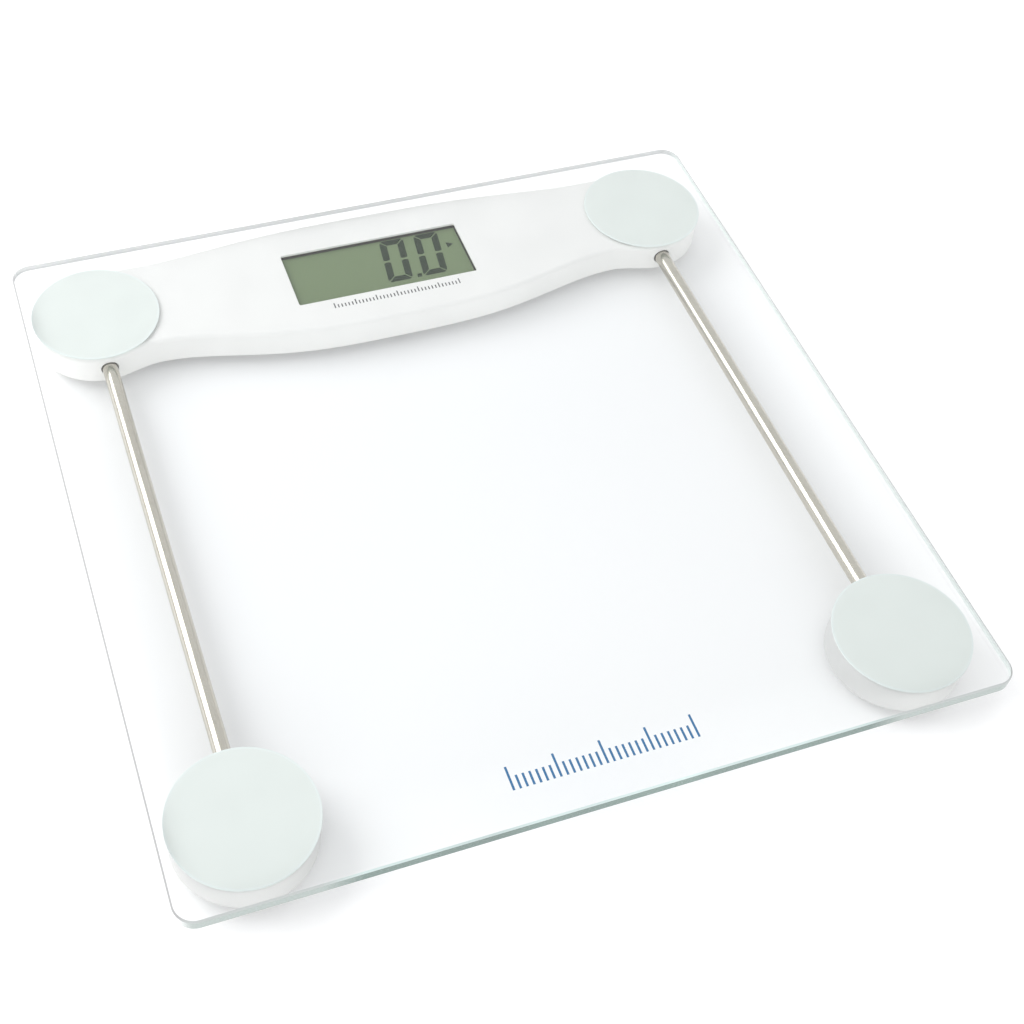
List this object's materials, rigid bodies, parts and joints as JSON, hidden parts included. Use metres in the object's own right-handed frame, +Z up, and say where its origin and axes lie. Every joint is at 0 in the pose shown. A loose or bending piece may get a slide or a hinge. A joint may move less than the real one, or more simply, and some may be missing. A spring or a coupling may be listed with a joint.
{
  "type": "digital body scale",
  "caption": "Square glass-topped electronic body scale with a white display housing along one edge, round corner feet and steel side tubes that carry the load-cell leads.",
  "frame": {"origin": "on the floor, under the middle of the glass platform", "axes": "+Z up, +X to the right along the front edge, +Y towards the display end"},
  "size_m": [0.3, 0.3, 0.023],
  "materials": {
    "glass": "clear tempered float glass, ground edges that read pale green",
    "frosted_disc": "frosted pale mint",
    "white_abs": "semi-gloss white moulded plastic",
    "foot_plastic": "white moulded plastic",
    "pad_rubber": "matt grey rubber",
    "cell_steel": "stamped zinc-plated steel",
    "gauge_sealant": "white silicone sealant",
    "tube_steel": "polished stainless tube, slightly warm",
    "lead_insulation": "three-core wire insulation, red, black and white",
    "lcd_glass": "grey-green liquid crystal display",
    "holder_plastic": "white moulded plastic",
    "zebra_rubber": "striped conductive rubber",
    "circuit_board": "green solder mask on glass-epoxy board",
    "chip_epoxy": "black epoxy blob",
    "switch_plastic": "black moulded switch",
    "button_plastic": "grey moulded key",
    "cell_can": "bright nickel-plated can",
    "contact_metal": "nickel-plated spring strip",
    "screw_steel": "zinc-plated steel"
  },
  "bodies": {
    "platform": {"glass_platform": "glass", "bond_disc_front_left": "frosted_disc", "bond_disc_front_right": "frosted_disc", "bond_disc_rear_left": "frosted_disc", "bond_disc_rear_right": "frosted_disc", "display_housing": "white_abs", "display_housing_cover": "white_abs", "front_housing_left": "white_abs", "front_housing_right": "white_abs", "load_cell_front_left": "cell_steel", "load_cell_front_right": "cell_steel", "load_cell_rear_left": "cell_steel", "load_cell_rear_right": "cell_steel", "strain_gauge_front_left": "gauge_sealant", "strain_gauge_front_right": "gauge_sealant", "strain_gauge_rear_left": "gauge_sealant", "strain_gauge_rear_right": "gauge_sealant", "support_tube_left": "tube_steel", "support_tube_right": "tube_steel", "cell_lead_front_left": "lead_insulation", "cell_lead_front_right": "lead_insulation", "cell_lead_rear_left": "lead_insulation", "cell_lead_rear_right": "lead_insulation", "lcd_panel": "lcd_glass", "lcd_holder": "holder_plastic", "zebra_strip": "zebra_rubber", "main_board": "circuit_board", "controller_chip": "chip_epoxy", "unit_switch": "switch_plastic", "coin_cell": "cell_can", "battery_contact_positive": "contact_metal", "battery_contact_negative": "contact_metal", "cover_screw_1": "screw_steel", "cover_screw_2": "screw_steel", "cover_screw_3": "screw_steel", "cover_screw_4": "screw_steel", "cover_screw_5": "screw_steel", "cover_screw_6": "screw_steel", "board_screw_1": "screw_steel", "board_screw_2": "screw_steel"},
    "foot_front_left": {"foot_cap_front_left": "foot_plastic", "foot_pad_front_left": "pad_rubber"},
    "foot_front_right": {"foot_cap_front_right": "foot_plastic", "foot_pad_front_right": "pad_rubber"},
    "foot_rear_left": {"foot_cap_rear_left": "foot_plastic", "foot_pad_rear_left": "pad_rubber"},
    "foot_rear_right": {"foot_cap_rear_right": "foot_plastic", "foot_pad_rear_right": "pad_rubber"},
    "unit_key": {"unit_button": "button_plastic"},
    "battery_door": {"battery_cover": "white_abs"}
  },
  "joints": [
    {"name": "foot_front_left_press", "type": "slide", "parent": "platform", "child": "foot_front_left", "axis": [0, 0, 1], "range_m": [0, 0.0006], "stiffness_N_per_m": 100000},
    {"name": "foot_front_right_press", "type": "slide", "parent": "platform", "child": "foot_front_right", "axis": [0, 0, 1], "range_m": [0, 0.0006], "stiffness_N_per_m": 100000},
    {"name": "foot_rear_left_press", "type": "slide", "parent": "platform", "child": "foot_rear_left", "axis": [0, 0, 1], "range_m": [0, 0.0006], "stiffness_N_per_m": 100000},
    {"name": "foot_rear_right_press", "type": "slide", "parent": "platform", "child": "foot_rear_right", "axis": [0, 0, 1], "range_m": [0, 0.0006], "stiffness_N_per_m": 100000},
    {"name": "unit_key_press", "type": "slide", "parent": "platform", "child": "unit_key", "axis": [0, 0, 1], "range_m": [0, 0.0005], "stiffness_N_per_m": 400},
    {"name": "battery_door_hinge", "type": "hinge", "parent": "platform", "child": "battery_door", "pos_m": [0.0505, 0.117, 0.004], "axis": [0, 1, 0], "range_deg": [0, 75]}
  ]
}
